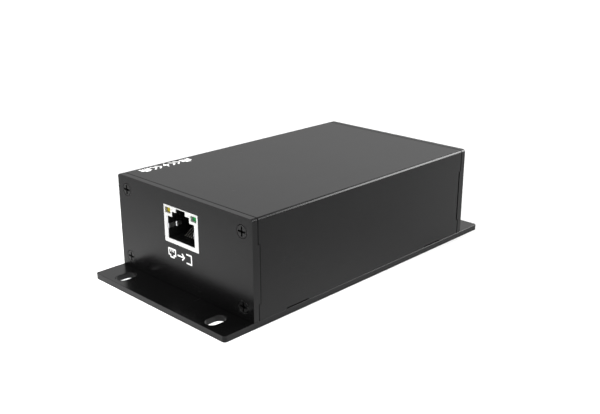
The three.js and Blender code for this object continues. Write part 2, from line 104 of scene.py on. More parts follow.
def in_a_row(count, pitch):
    """Places either side of zero, a pitch apart."""
    return [(i - (count - 1) / 2) * pitch for i in range(count)]


# ---- solids

def oriented(bm):
    bmesh.ops.remove_doubles(bm, verts=bm.verts, dist=SAME_POINT)
    bmesh.ops.recalc_face_normals(bm, faces=bm.faces)
    return bm


def prism(outline, axis, low, high):
    """An outline swept along X, Y or Z. It is drawn in the other two axes, in X, Y, Z order."""
    def point(u, v, w):
        return {X: (w, u, v), Y: (u, w, v), Z: (u, v, w)}[axis]
    bm = bmesh.new()
    lower = [bm.verts.new(point(u, v, low)) for u, v in outline]
    upper = [bm.verts.new(point(u, v, high)) for u, v in outline]
    bm.faces.new(lower)
    bm.faces.new(upper)
    count = len(outline)
    for i in range(count):
        j = (i + 1) % count
        bm.faces.new((lower[i], lower[j], upper[j], upper[i]))
    return oriented(bm)


def loft(rings):
    """Rings of points joined one to the next, and closed at both ends."""
    bm = bmesh.new()
    loops = [[bm.verts.new(point) for point in ring] for ring in rings]
    bm.faces.new(loops[0])
    bm.faces.new(loops[-1])
    for near, far in zip(loops, loops[1:]):
        for i in range(len(near)):
            j = (i + 1) % len(near)
            bm.faces.new((near[i], near[j], far[j], far[i]))
    return oriented(bm)


def stacked(outline_of, levels):
    """An outline of (u, v) points stacked up Z, grown by an amount of its own at each height."""
    return loft([[(u, v, z) for u, v in outline_of(grow)] for z, grow in levels])


def cuboid(x, y, z):
    return prism([(x[0], y[0]), (x[1], y[0]), (x[1], y[1]), (x[0], y[1])], Z, *z)


def lathe(profile):
    """A profile of (radius, height) points, turned about the Z axis."""
    steps = 64
    bm = bmesh.new()
    rings = []
    for radius, height in profile:
        if radius == 0:
            rings.append([bm.verts.new((0, 0, height))] * steps)
        else:
            rings.append([bm.verts.new((radius * math.cos(2 * math.pi * i / steps),
                                        radius * math.sin(2 * math.pi * i / steps), height))
                          for i in range(steps)])
    for lower, upper in zip(rings, rings[1:]):
        for i in range(steps):
            j = (i + 1) % steps
            corners = [lower[i], lower[j], upper[j], upper[i]]
            bm.faces.new(list(dict.fromkeys(corners)))
    return oriented(bm)


def moved(bm, matrix):
    bm.transform(matrix)
    return bm


def shifted(bm, x=0, y=0, z=0):
    return moved(bm, Matrix.Translation((x, y, z)))


def linked(name, data):
    """A mesh, lamp or camera as an object in the scene."""
    obj = bpy.data.objects.new(name, data)
    bpy.context.collection.objects.link(obj)
    return obj


def linked_solid(name, bm):
    mesh = bpy.data.meshes.new(name)
    bm.to_mesh(mesh)
    bm.free()
    return linked(name, mesh)


def discard(obj):
    mesh = obj.data
    bpy.data.objects.remove(obj)
    bpy.data.meshes.remove(mesh)


def evaluated(bm, add_modifiers):
    """The solid after the modifiers that add_modifiers puts on a temporary object."""
    holder = linked_solid("temporary", bm)
    add_modifiers(holder)
    graph = bpy.context.evaluated_depsgraph_get()
    final = bpy.data.meshes.new_from_object(holder.evaluated_get(graph))
    result = bmesh.new()
    result.from_mesh(final)
    bpy.data.meshes.remove(final)
    discard(holder)
    return result


def combined(base, tools, operation):
    holders = [linked_solid("tool", tool) for tool in tools]

    def add(obj):
        for holder in holders:
            step = obj.modifiers.new("join or cut", "BOOLEAN")
            step.operation = operation
            step.solver = "EXACT"
            step.object = holder
    result = evaluated(base, add)
    for holder in holders:
        discard(holder)
    bmesh.ops.remove_doubles(result, verts=result.verts, dist=SAME_POINT)
    return result


def cut(base, *tools):
    return combined(base, tools, "DIFFERENCE")


def join(base, *tools):
    return combined(base, tools, "UNION")


def together(*solids):
    """Solids that don't touch, as one mesh."""
    result = bmesh.new()
    for solid in solids:
        holder = linked_solid("temporary", solid)
        result.from_mesh(holder.data)
        discard(holder)
    return result


def bevelled(bm, width, steps=2, angle=30):
    def add(obj):
        step = obj.modifiers.new("edges", "BEVEL")
        step.width = width
        step.segments = steps
        step.limit_method = "ANGLE"
        step.angle_limit = math.radians(angle)
        step.miter_outer = "MITER_ARC"
    return evaluated(bm, add)


def piece(name, bm, material, body=ROOT, replaces=()):
    """A finished solid as a piece of the object, on its body.

    Its normals are weighted by area while it is in millimetres; in metres the areas are too small.
    """
    obj = linked_solid(name, bm)
    draft = obj.data
    draft.polygons.foreach_set("use_smooth", [True] * len(draft.polygons))
    draft.set_sharp_from_angle(angle=SHARP_ANGLE)
    weighted = obj.modifiers.new("weighted normals", "WEIGHTED_NORMAL")
    weighted.keep_sharp = True
    graph = bpy.context.evaluated_depsgraph_get()
    mesh = bpy.data.meshes.new_from_object(obj.evaluated_get(graph), preserve_all_data_layers=True,
                                           depsgraph=graph)
    obj.modifiers.clear()
    obj.data = mesh
    bpy.data.meshes.remove(draft)
    mesh.name = name
    mesh.transform(Matrix.Scale(MM, 4))
    mesh.materials.append(material)
    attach(obj, body)
    if replaces:
        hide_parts(*replaces)
    return obj


# ---- materials

# Patterns, in cycles per metre along X, Y and Z.
LENGTHWAYS = (3600, 45, 3600)     # grain along Y
CROSSWAYS = (45, 3600, 3600)      # grain along X
EVEN = (3000, 3000, 3000)
ETCH = (7000, 7000, 7000)
PATCHES = (35, 35, 35)
CLOUDS = (90, 90, 90)
SPECKS = (400, 400, 400)
HAZE = (2500, 2500, 2500)
YARNS = 1100
RIBS = 1400


def new_material(name, **constants):
    material = bpy.data.materials.new(name)
    material.use_nodes = True
    tree = material.node_tree
    shader = tree.nodes["Principled BSDF"]
    for socket, value in constants.items():
        shader.inputs[socket.replace("_", " ")].default_value = value
    return Group(material=material, nodes=tree.nodes, links=tree.links, shader=shader)


def pattern(kit, kind, scale, **constants):
    """A pattern node, with its scale in cycles per metre along X, Y and Z."""
    place = kit.nodes.new("ShaderNodeTexCoord")
    mapping = kit.nodes.new("ShaderNodeMapping")
    mapping.inputs["Scale"].default_value = scale
    texture = kit.nodes.new(kind)
    for socket, value in constants.items():
        texture.inputs[socket].default_value = value
    kit.links.new(place.outputs["Object"], mapping.inputs["Vector"])
    kit.links.new(mapping.outputs["Vector"], texture.inputs["Vector"])
    return texture


def noise(kit, scale, detail=4):
    return pattern(kit, "ShaderNodeTexNoise", scale, Scale=1, Detail=detail, Roughness=0.55).outputs["Fac"]


def bands(kit, scale, distortion=0):
    texture = pattern(kit, "ShaderNodeTexWave", scale, Scale=1, Distortion=distortion)
    texture.bands_direction = "DIAGONAL"
    return texture.outputs["Fac"]


def ranged(kit, value, low, high, start=0.3, end=0.7):
    """A value spread from its range, start to end, to the range low to high."""
    step = kit.nodes.new("ShaderNodeMapRange")
    for socket, limit in (("From Min", start), ("From Max", end), ("To Min", low), ("To Max", high)):
        step.inputs[socket].default_value = limit
    kit.links.new(value, step.inputs["Value"])
    return step.outputs["Result"]


def tinted(kit, value, dark, light, start=0.35, end=0.65):
    ramp = kit.nodes.new("ShaderNodeValToRGB")
    for stop, position, colour in zip(ramp.color_ramp.elements, (start, end), (dark, light)):
        stop.position = position
        stop.color = (*colour, 1)
    kit.links.new(value, ramp.inputs["Fac"])
    return ramp.outputs["Color"]


def finished(kit, colour, rough, heights):
    """The material with its colour, its roughness, and bumps on top of each other.

    The bumps are (pattern, strength, depth in millimetres) rows.
    """
    below = None
    for value, strength, depth in heights:
        bump = kit.nodes.new("ShaderNodeBump")
        bump.inputs["Strength"].default_value = strength
        bump.inputs["Distance"].default_value = depth * MM
        kit.links.new(value, bump.inputs["Height"])
        if below:
            kit.links.new(below, bump.inputs["Normal"])
        below = bump.outputs["Normal"]
    for socket, value in (("Base Color", colour), ("Roughness", rough), ("Normal", below)):
        kit.links.new(value, kit.shader.inputs[socket])
    return kit.material


def worked_out(kit, operation, first, second):
    """A sum or product of two node outputs."""
    step = kit.nodes.new("ShaderNodeMath")
    step.operation = operation
    kit.links.new(first, step.inputs[0])
    kit.links.new(second, step.inputs[1])
    return step.outputs["Value"]


def surface(name, dark, light, rough, grain, depth, strength=0.3, **constants):
    """A material whose colour drifts slowly and whose gloss and height follow a fine grain."""
    kit = new_material(name, **constants)
    fine = noise(kit, grain)
    return finished(kit, tinted(kit, noise(kit, CLOUDS), dark, light), ranged(kit, fine, *rough),
                    [(fine, strength, depth)])


def metal(*look, **options):
    return surface(*look, Metallic=1.0, **options)


def anodised(name, grain, ior=1.27):
    """Black anodised aluminium: a brushed grain below a fine etched texture."""
    kit = new_material(name, IOR=ior)
    brushed, etched, patchy = noise(kit, grain, 6), noise(kit, ETCH, 2), noise(kit, PATCHES, 3)
    rough = worked_out(kit, "ADD", ranged(kit, brushed, 0.235, 0.265), ranged(kit, patchy, -0.01, 0.015))
    return finished(kit, tinted(kit, patchy, (0.0009, 0.0009, 0.001), (0.0018, 0.0018, 0.0019)), rough,
                    [(brushed, 0.05, 0.002), (etched, 0.05, 0.002)])


def circuit_board_material():
    """Solder mask over woven glass cloth."""
    kit = new_material("green fibreglass", IOR=1.5, Coat_Weight=0.3)
    weave = worked_out(kit, "MULTIPLY", bands(kit, (YARNS, 0, 0)), bands(kit, (0, YARNS, 0)))
    return finished(kit, tinted(kit, weave, (0.006, 0.07, 0.03), (0.012, 0.11, 0.045), 0, 1),
                    ranged(kit, noise(kit, SPECKS), 0.3, 0.45), [(weave, 0.2, 0.01)])


def wound_material(name, dark, light, per_metre):
    """Turns of wire or tape, side by side up the winding."""
    kit = new_material(name, Metallic=0.6)
    turns = bands(kit, (0, 0, per_metre), distortion=0.6)
    return finished(kit, tinted(kit, turns, dark, light, 0.1, 0.9), ranged(kit, turns, 0.5, 0.3),
                    [(turns, 0.6, 0.08)])


def lens_material(name, dark, light):
    """A light guide: tinted, glossy, faintly ribbed, and a little lit from within."""
    kit = new_material(name, IOR=1.35, Emission_Color=(*light, 1), Emission_Strength=0.12)
    ribs = bands(kit, (RIBS, 0, 0), distortion=0.3)
    return finished(kit, tinted(kit, ribs, dark, light, 0.1, 0.9), ranged(kit, noise(kit, HAZE), 0.2, 0.35),
                    [(ribs, 0.3, 0.02)])


# Each row of surface(): its name, its darkest and lightest colour, its roughness from smooth to
# rough, its grain, and the grain's depth in millimetres.
LOOKS = Group(
    cover=anodised("black anodised cover", LENGTHWAYS, 1.262),
    plate=anodised("black anodised plate", LENGTHWAYS),
    panel=anodised("black anodised panel", CROSSWAYS),
    screw=surface("black oxide steel", (0.001, 0.001, 0.001), (0.002, 0.002, 0.002), (0.24, 0.32),
                  EVEN, 0.002, strength=0.08, IOR=1.31),
    zinc=metal("zinc plated steel", (0.52, 0.53, 0.55), (0.66, 0.67, 0.69), (0.22, 0.4), EVEN, 0.004),
    nickel=metal("nickel plated shield", (0.62, 0.62, 0.615), (0.7, 0.7, 0.69), (0.36, 0.46),
                 (4200, 4200, 300), 0.003, strength=0.15),
    # the spring fingers are the shield's nickel painted darker: painted shade for their place inside the
    # socket's mouth
    spring=metal("nickel spring darkened as painted shade", (0.5, 0.51, 0.52), (0.58, 0.59, 0.6), (0.31, 0.35),
                 (4200, 300, 4200), 0.001, strength=0.05),
    contact=metal("flash gold contact wire", (0.6, 0.58, 0.53), (0.72, 0.7, 0.64), (0.3, 0.42),
                  EVEN, 0.002),
    tin=metal("tin plated copper", (0.62, 0.62, 0.63), (0.8, 0.8, 0.81), (0.25, 0.4), EVEN, 0.003),
    brass=metal("turned brass", (0.6, 0.4, 0.14), (0.78, 0.56, 0.24), (0.2, 0.34),
                (1200, 1200, 5000), 0.004),
    aluminium=metal("milled aluminium", (0.55, 0.56, 0.57), (0.68, 0.69, 0.7), (0.28, 0.45),
                    LENGTHWAYS, 0.006),
    nylon=surface("black nylon", (0.002, 0.002, 0.002), (0.004, 0.004, 0.004), (0.42, 0.6),
                  EVEN, 0.012, IOR=1.32),
    grey_nylon=surface("grey nylon", (0.25, 0.25, 0.25), (0.33, 0.33, 0.325), (0.42, 0.56),
                       EVEN, 0.006, IOR=1.4),
    green_nylon=surface("green nylon", (0.012, 0.14, 0.045), (0.02, 0.2, 0.065), (0.36, 0.52),
                        EVEN, 0.014, IOR=1.5),
    yellow_lens=lens_material("yellow lens", (0.29, 0.235, 0.012), (0.41, 0.335, 0.019)),
    green_lens=lens_material("green lens", (0.006, 0.17, 0.038), (0.012, 0.25, 0.055)),
    ink=surface("white screen print", (0.86, 0.86, 0.85), (0.95, 0.95, 0.94), (0.45, 0.65),
                (6000, 6000, 6000), 0.01, IOR=1.45),
    board=circuit_board_material(),
    ferrite=surface("sintered ferrite", (0.018, 0.018, 0.02), (0.035, 0.034, 0.037), (0.6, 0.85),
                    EVEN, 0.03),
    tape=wound_material("winding tape", (0.45, 0.28, 0.02), (0.72, 0.5, 0.06), 900),
    copper=wound_material("copper winding", (0.3, 0.1, 0.03), (0.62, 0.27, 0.1), 1600),
    capacitor=surface("capacitor sleeve", (0.012, 0.022, 0.07), (0.02, 0.035, 0.11), (0.22, 0.34),
                      (900, 900, 200), 0.01, IOR=1.52),
    ceramic=surface("glazed ceramic", (0.62, 0.6, 0.54), (0.76, 0.74, 0.68), (0.2, 0.32), EVEN, 0.006),
    film=surface("polyester film", (0.5, 0.52, 0.52), (0.6, 0.62, 0.62), (0.24, 0.38),
                 (500, 500, 500), 0.01),
)


# ---- fasteners

# A cross recess: its arms' reach and half width at the top, and at their foot.
CROSS = Group(reach=1.62, arm=0.31, foot_reach=1.45, foot_arm=0.186)
FLAT_RECESS = 1.3         # depth of a flat head's recess
PAN_RECESS = 1.1
RIM = 0.05                # height of a flat head's upright edge
SUNK = 0.03               # how far a flat head lies below its face
THREAD_DEPTH = 0.16
PLAIN_END = 0.8           # length of a screw's end without thread
# Radii of each screw's head, shank, head cut-out and hole, and its length.
PANEL_SCREW = Group(head=1.98, shank=1.2, sink=2.18, hole=1.4, length=8)
BASE_SCREW = Group(head=2.7, shank=1.5, sink=2.9, hole=1.65, length=6.4)
EARTH_SCREW = Group(head=2.8, high=2, shank=1.5, length=7, lift=0.05)
WASHER = Group(radius=3.5, bore=1.65, edge=0.1)


def cross_recess(top, depth):
    """A cutter for a cross recess that narrows as it goes down from z = top."""
    levels = ((top + 0.5, CROSS.reach * 1.1, CROSS.arm * 1.1), (top, CROSS.reach, CROSS.arm),
              (top - depth, CROSS.foot_reach, CROSS.foot_arm))
    arms = []
    for swap in (False, True):
        rings = []
        for z, reach, arm in levels:
            outline = rounded_rectangle(reach, arm, arm * 0.95, steps=4)
            rings.append([(v, u, z) if swap else (u, v, z) for u, v in outline])
        arms.append(loft(rings))
    return join(*arms)


def thread(shank, start, end, pitch):
    """Profile points for shallow rings that stand for the thread, from start down to end."""
    points = []
    for i in range(int((start - end) / pitch)):
        z = start - i * pitch
        points += [(shank, z), (shank - THREAD_DEPTH, z - pitch / 2)]
    return points


def shank_profile(screw, start, pitch):
    """Profile points for a screw's thread and plain end."""
    return [*thread(screw.shank, start, PLAIN_END - screw.length, pitch),
            (screw.shank / 2, -screw.length), (0, -screw.length)]


def flat_screw(screw):
    """A countersunk screw that hangs down from z = 0, with its head just below it."""
    under = -SUNK - RIM - (screw.head - screw.shank)
    profile = [(0, -SUNK), (screw.head - RIM, -SUNK), (screw.head, -SUNK - RIM), (screw.shank, under)]
    profile += shank_profile(screw, under - 0.2, 0.45)
    return cut(lathe(profile), cross_recess(-SUNK, FLAT_RECESS))


def pan_screw(screw):
    """A pan-head screw whose head sits on z = 0."""
    edge = 0.06
    profile = [(0, screw.high)]
    for a in [math.radians(degrees) for degrees in range(15, 91, 15)]:
        profile.append((screw.head * math.sin(a), screw.high * (0.5 + 0.5 * math.cos(a))))
    profile += [(screw.head, edge), (screw.head - edge, 0), (screw.shank, 0)]
    profile += shank_profile(screw, -0.3, 0.5)
    return cut(lathe(profile), cross_recess(screw.high, PAN_RECESS))


HEAD_UP = {          # turns a screw's +Z to the way its head faces
    "-Y": Matrix.Rotation(math.radians(90), 4, "X"),
    "+Y": Matrix.Rotation(math.radians(-90), 4, "X"),
    "-Z": Matrix.Rotation(math.radians(180), 4, "X"),
}


def flat_screws():
    """The countersunk screws of both panels and of the base, four of each."""
    groups = (("front", PANEL_SCREW, "-Y", Y, FRONT_FACE), ("rear", PANEL_SCREW, "+Y", Y, REAR_FACE),
              ("base", BASE_SCREW, "-Z", Z, 0))
    for group, screw, facing, axis, face in groups:
        for i in range(1, 5):
            node = f"{group}_screw_{i}"
            place = node_centre(node)
            place[axis] = face
            piece(f"{node}_body", shifted(moved(flat_screw(screw), HEAD_UP[facing]), *place), LOOKS.screw,
                  replaces=[node])


def sink_cutter(screw, thickness):
    """A cutter for a screw's countersunk hole, which runs down from z = 0."""
    above, below = 0.3, -thickness - PAST
    return lathe([(0, above), (screw.sink + above, above), (screw.hole, screw.hole - screw.sink),
                  (screw.hole, below), (0, below)])


# ---- enclosure

PLATE_CORNER = 1.1
PLATE_EDGE = 0.06         # chamfer round the base plate and its slots
SLOT = Group(x=22.65, y=58.8, half_width=2.3, half_length=3.6)
SKIN = 0.02               # how far the printed faces lie below the CAD faces, to take the ink
EDGE_ROUND = 1.0
COVER_CHAMFER = 0.12      # on the cover's two ends, along each seam
SEAM_EXTRA = 0.07         # how much wider than in the frame each seam is
WALL = 1.8
INNER_CORNER = 0.6
PANEL_THICKNESS = 2
CUT_DEPTH = 4             # of the panels' cut-outs, either way from the face
STANDOFF_HOLE = 2.1
BURIED = 0.3              # how far from the cover's outer face what is joined to its wall begins
BOSS = Group(radius=3, bore=1.3, slit=0.6, low=20)
RAIL = Group(inner=25.2, top=8.6, hole=1.6, hole_top=7)
RELIEF = Group(half=4.75, high=2.5, deep=4)
TAB = Group(low=7.5, high=26, play=0.1, gap={-1: 0.12, 1: 0.3}, chamfer=0.3, root=0.5)


def base_plate():
    low, high = node_box("base_plate")
    c = PLATE_EDGE

    def edge(grow):
        return rounded_rectangle(high.x + grow, high.y + grow, PLATE_CORNER + grow, steps=16)

    def slot_at(centre):
        return lambda grow: rounded_rectangle(SLOT.half_width + grow, SLOT.half_length + grow,
                                              SLOT.half_width + grow, centre, 14)
    bm = stacked(edge, ((low.z, -c), (low.z + c, 0), (high.z - c, 0), (high.z, -c)))
    levels = ((low.z - c, 2 * c), (low.z + c, 0), (high.z - c, 0), (high.z + c, 2 * c))
    cutters = [stacked(slot_at((sx * SLOT.x, sy * SLOT.y)), levels) for sx in (-1, 1) for sy in (-1, 1)]
    for i in range(1, 5):
        screw = node_centre(f"base_screw_{i}")
        sink = moved(sink_cutter(BASE_SCREW, high.z), HEAD_UP["-Z"])
        cutters.append(shifted(sink, screw.x, screw.y))
        post = node_centre(f"board_standoff_{i}")
        cutters.append(prism(circle(STANDOFF_HOLE, (post.x, post.y)), Z, low.z - PAST, high.z + PAST))
    piece("base_plate_body", cut(bm, *cutters), LOOKS.plate, replaces=["base_plate"])


def box_outline(half, low, high):
    """The enclosure's section: square feet and rounded top corners, in X and Z."""
    return both_sides([(half, low), *arc((half - EDGE_ROUND, high - EDGE_ROUND), EDGE_ROUND, 0, 90, 10)])


def side_span(side, inner, outer):
    return sorted((side * inner, side * outer))


def tab_notch(side, way, half, end):
    """A cutter for a panel tab's notch in the cover's side, with a chamfer on its long edge."""
    notch_end = node_box("rear_panel")[0].y - TAB.gap[way]
    inner, outer = half - WALL - PAST, half + PAST
    outline = [(inner, end + PAST), (inner, notch_end), (half - TAB.chamfer, notch_end),
               (outer, notch_end - TAB.chamfer - PAST), (outer, end + PAST)]
    return prism([(side * x, way * y) for x, y in outline], Z, TAB.low - TAB.play, TAB.high + TAB.play)


def cover():
    low, high = node_box("cover")
    half, top, end = high.x, high.z - SKIN, high.y - SEAM_EXTRA
    past_ends = (-end - PAST, end + PAST)
    c = COVER_CHAMFER
    bm = loft([[(u, y, v) for u, v in box_outline(half - inset, low.z, top - inset)]
               for y, inset in ((-end, c), (c - end, 0), (end - c, 0), (end, c))])
    inner = rounded_rectangle(half - WALL, top, INNER_CORNER, (0, -WALL), 4)
    bm = cut(bm, prism(inner, Y, *past_ends))
    boss_x, _, boss_high = node_centre("front_screw_4")
    boss_low = node_centre("front_screw_2").z
    base_screw_y = abs(node_centre("base_screw_1").y)
    additions, cutters = [], []
    for side in (-1, 1):
        boss = prism(circle(BOSS.radius, (side * boss_x, boss_high)), Y, -end, end)
        room = cuboid(side_span(side, RAIL.inner - PAST, half - BURIED), past_ends,
                      (BOSS.low, top - BURIED))
        rail = cuboid(side_span(side, RAIL.inner, half - BURIED), (-end, end), (low.z, RAIL.top))
        additions += [combined(boss, [room], "INTERSECT"), rail]
        for z in (boss_low, boss_high):
            slit = cuboid(side_span(side, RAIL.inner - 2 * PAST, boss_x), past_ends, about(z, BOSS.slit))
            cutters += [prism(circle(BOSS.bore, (side * boss_x, z), 32), Y, *past_ends), slit]
        for way in (-1, 1):
            y = way * base_screw_y
            relief_x = side_span(side, half - RELIEF.deep, half + PAST)
            cutters += [cuboid(relief_x, about(y, RELIEF.half), (0, RELIEF.high)),
                        prism(circle(RAIL.hole, (side * boss_x, y), 32), Z, 0, RAIL.hole_top),
                        tab_notch(side, way, half, end)]
    bm = cut(join(bm, *additions), *cutters)
    piece("cover_body", bevelled(bm, 0.05), LOOKS.cover, replaces=["cover"])


def end_panel(end, openings):
    """An end panel with its tabs, countersunk holes and cut-outs."""
    name = f"{end}_panel"
    low, high = node_box(name)
    front = end == "front"
    outward = -1 if front else 1
    face = (low.y + SKIN) if front else (high.y - SKIN)
    thickness = PANEL_THICKNESS - SKIN
    inner = face - outward * thickness
    tip = high.y if front else low.y
    half = high.x
    bm = prism(box_outline(half, low.z, high.z - SKIN), Y, *sorted((face, inner)))
    tab_y = sorted((inner + outward * TAB.root, tip))
    tabs = [cuboid(side_span(side, half - WALL, half), tab_y, (TAB.low, TAB.high)) for side in (-1, 1)]
    cutters = list(openings)
    for i in range(1, 5):
        screw = node_centre(f"{end}_screw_{i}")
        sink = moved(sink_cutter(PANEL_SCREW, thickness), HEAD_UP["-Y" if front else "+Y"])
        cutters.append(shifted(sink, screw.x, face, screw.z))
    bm = cut(join(bm, *tabs), *cutters)
    piece(f"{name}_body", bevelled(bm, 0.04), LOOKS.panel, replaces=[name])


def node_opening(node, play, face):
    """A cutter round a node's outline in X and Z, through the panel at that face."""
    low, high = node_box(node)
    return cuboid((low.x - play, high.x + play), about(face, CUT_DEPTH), (low.z - play, high.z + play))


def panels():
    earth = node_centre("earth_screw")
    end_panel("front", [node_opening("input_jack_shield", 0.1, FRONT_FACE)])
    end_panel("rear", [
        node_opening("output_jack_shield", 0.1, REAR_FACE),
        node_opening("dc_header", 0.18, REAR_FACE),
        prism(circle(WASHER.bore, (earth.x, earth.z)), Y, *about(REAR_FACE, CUT_DEPTH)),
    ])


# ---- modular sockets

SHEET = 0.25
MOUTH = Group(half=6.45, low=1.4, high=8.75, step_half=4.2, step_high=10.55, latch_half=2.2,
              latch_high=11.9, depth=13)
LAMP = Group(inner=4.95, outer=7.65, low=9.65, high=11.5, recess=0.9, back=15, play=0.04,
             sleeve=0.12, corner=0.18)
FINGER = Group(low=4.65, high=6.25, wall=6.4, face=6.1, crest=0.3, crest_at=3.0,
               crest_half=0.11, end=5.2, thick=0.13, root=0.3, fold=0.12)
WIRES = Group(count=8, pitch=1.02, half=0.18, thick=0.3, front=4.2, bend=7.9, back=10.3, top=4,
              turn=0.5)          # turn is each bend's length along Y
COMB = Group(half=5.3, front=10.2, back=12.9, top=4.1, slot_half=0.26, wall=0.8, floor=0.6)
GROOVE = Group(half=0.24, front=1.2, back=9.8, deep=0.5)     # between the wires, in the floor


def mouth_outline(top):
    m = MOUTH
    return both_sides([(m.half, m.low), (m.half, m.high), (m.step_half, m.high), (m.step_half, m.step_high),
                       (m.latch_half, m.step_high), (m.latch_half, top)])


def lamp_outline(side, grow):
    """A lamp window's outline in the shield, grown all round."""
    centre = (side * (LAMP.inner + LAMP.outer) / 2, (LAMP.low + LAMP.high) / 2)
    return rounded_rectangle((LAMP.outer - LAMP.inner) / 2 + grow, (LAMP.high - LAMP.low) / 2 + grow,
                             LAMP.corner + grow, centre, 4)


def finger(side):
    """A spring finger, folded in from the shield at the mouth's side, with a crest across it."""
    f = FINGER
    rise = [(f.face - f.crest * math.exp(-((y - f.crest_at) / f.crest_half) ** 2), y)
            for y in [f.crest_at + f.crest_half * i / 3 for i in range(-9, 10)]]
    back = [(f.wall - f.thick - 0.12, f.end - 0.25), (f.wall - f.thick, f.end), (f.wall, f.end)]
    outer = [(f.wall, SHEET + f.root), (f.wall, SHEET), (f.wall + f.root, SHEET), (f.wall + f.root, 0)]
    outline = arc((f.face + f.fold, f.fold), f.fold, 270, 180, 4) + rise + back + outer
    return bevelled(prism([(side * x, y) for x, y in outline], Z, f.low, f.high), 0.03, angle=50)


def jack_shield(width, height, depth):
    half = width / 2
    body = prism(rounded_rectangle(half, height / 2, 0.25, (0, height / 2), 4), Y, 0, depth)
    cutters = [cuboid(about(0, half - SHEET), (SHEET, depth - SHEET), (-PAST, height - SHEET)),
               prism(mouth_outline(MOUTH.latch_high), Y, -PAST, 2 * SHEET)]
    cutters += [prism(lamp_outline(side, 0), Y, -PAST, 2 * SHEET) for side in (-1, 1)]
    return bevelled(cut(body, *cutters), 0.03)


def jack_housing(width, height, depth):
    half = width / 2 - SHEET - 0.1
    body = cuboid(about(0, half), (SHEET + CLEAR, depth - SHEET - 0.15), (0.3, height - SHEET - CLEAR))
    cutters = [prism(mouth_outline(height + PAST), Y, -PAST, MOUTH.depth)]
    for side in (-1, 1):
        cutters += [cuboid(side_span(side, LAMP.inner, LAMP.outer), (-PAST, LAMP.back + 0.1),
                           (LAMP.low, LAMP.high)),
                    prism(lamp_outline(side, LAMP.sleeve + 0.03), Y, -PAST, LAMP.recess + CLEAR)]
    cutters += [cuboid(about(x, GROOVE.half), (GROOVE.front, GROOVE.back), about(MOUTH.low, GROOVE.deep))
                for x in in_a_row(WIRES.count + 1, WIRES.pitch)]
    return bevelled(cut(body, *cutters), 0.03, steps=1)


def contact_wire(x):
    """One sprung wire: it leaves the floor near the mouth and rises to the comb."""
    w = WIRES
    half = w.thick / 2
    low, high = MOUTH.low + 0.1 + half, w.top - half
    steepness = (high - low) / (w.bend - w.front)
    centre = [(w.front, low)]
    centre += [(w.front + w.turn * t, low + w.turn * steepness * t * t / 2) for t in (0.4, 0.7, 1)]
    centre += [(w.bend - w.turn * t, high - w.turn * steepness * t * t / 2) for t in (1, 0.7, 0.4, 0)]
    centre.append((w.back, high))
    outline = [(y, z - half) for y, z in centre] + [(y, z + half) for y, z in reversed(centre)]
    return bevelled(prism(outline, X, *about(x, w.half)), 0.05, angle=50)


def comb():
    """The moulded comb that guides the wires' free ends."""
    c = COMB
    body = cuboid(about(0, c.half), (c.front, c.back), (MOUTH.low + CLEAR, c.top))
    slots = [cuboid(about(x, c.slot_half), (c.front - PAST, c.back - c.wall),
                    (MOUTH.low + c.floor, c.top + PAST)) for x in in_a_row(WIRES.count, WIRES.pitch)]
    return bevelled(cut(body, *slots), 0.04, steps=1)


def lamp_sleeve(side):
    """The short tube that a lamp lights through, from the shield back to the lamp."""
    return cut(prism(lamp_outline(side, LAMP.sleeve), Y, SHEET + 0.01, LAMP.recess),
               prism(lamp_outline(side, 0), Y, 0, LAMP.recess + PAST))


def lamp(side):
    return bevelled(prism(lamp_outline(side, -LAMP.play), Y, LAMP.recess, LAMP.back), 0.06, angle=60)


def modular_socket(name, facing):
    """All of one socket, drawn facing -Y from its own front centre and then put in its place."""
    low, high = node_box(f"{name}_jack_shield")
    width, depth, height = high - low
    face = low.y if facing == "-Y" else high.y
    place = Matrix.Translation(((low.x + high.x) / 2, face, low.z))
    if facing == "+Y":
        place = place @ Matrix.Rotation(math.pi, 4, "Z")

    def add(part, bm, look, node, slot):
        piece(f"{name}_jack_{part}", moved(bm, place), look, replaces=[f"{name}_jack_{node}"])
    add("shield_body", jack_shield(width, height, depth), LOOKS.nickel, "shield", "nickel_plated_shield")
    for i, side in enumerate((-1, 1), 1):
        # the fingers take the darker nickel, which is painted shade for the inside of the mouth
        add(f"spring_finger_{i}", finger(side), LOOKS.spring, "shield", "nickel_plated_shield")
        add(f"lamp_sleeve_{i}", lamp_sleeve(side), LOOKS.grey_nylon, "housing", "black_nylon")
    add("housing_body", jack_housing(width, height, depth), LOOKS.nylon, "housing", "black_nylon")
    add("comb", comb(), LOOKS.nylon, "contacts", "black_nylon")
    for i, x in enumerate(in_a_row(WIRES.count, WIRES.pitch), 1):
        add(f"wire_{i}", contact_wire(x), LOOKS.contact, "contacts", "gold_plated_contact")
    add("yellow_lamp_body", lamp(-1), LOOKS.yellow_lens, "yellow_lamp", "yellow_lens")
    add("green_lamp_body", lamp(1), LOOKS.green_lens, "green_lamp", "green_lens")


# ---- power terminal

HEADER = Group(wall=0.8, back=1.6, pin_half=0.55)
CLAMP_Y = 57.5
PLUG = Group(front=52.95, shoulder=23.4, chamfer=1.3)
POCKET = Group(half_x=2.1, half_y=2.9, low=16.9, high=24.5)
WELL = Group(radius=2, low=25, neck=1.4)
ENTRY = Group(half=1.5, centre=19.4, funnel=1.95, flare=0.6, corner=0.7)
TONGUE = Group(half=4.5, low=17.9, high=24.4, front=43.6, bore_half=1.1)
PARTING = Group(half=0.2, deep=0.35, high=22.6)      # the groove between the two poles
GRIP = Group(count=4, first=1.4, pitch=1.5, wide=0.7, deep=0.35, low=18.5, high=24.5)
TERMINAL_SCREW = Group(head=1.85, shank=1.2, tip=0.9, slot_half=0.3, slot_deep=0.9)
CLAMP = Group(corner=0.5, half=1.4, half_high=1.9, centre=19.8, bore=1.26, floor=21)


def pole_centres():
    return [node_centre(f"dc_plug_clamp_{i}").x for i in (1, 2)]


def square_bore(x, z, half, y):
    """A cutter of square section along Y."""
    return cuboid(about(x, half), y, about(z, half))


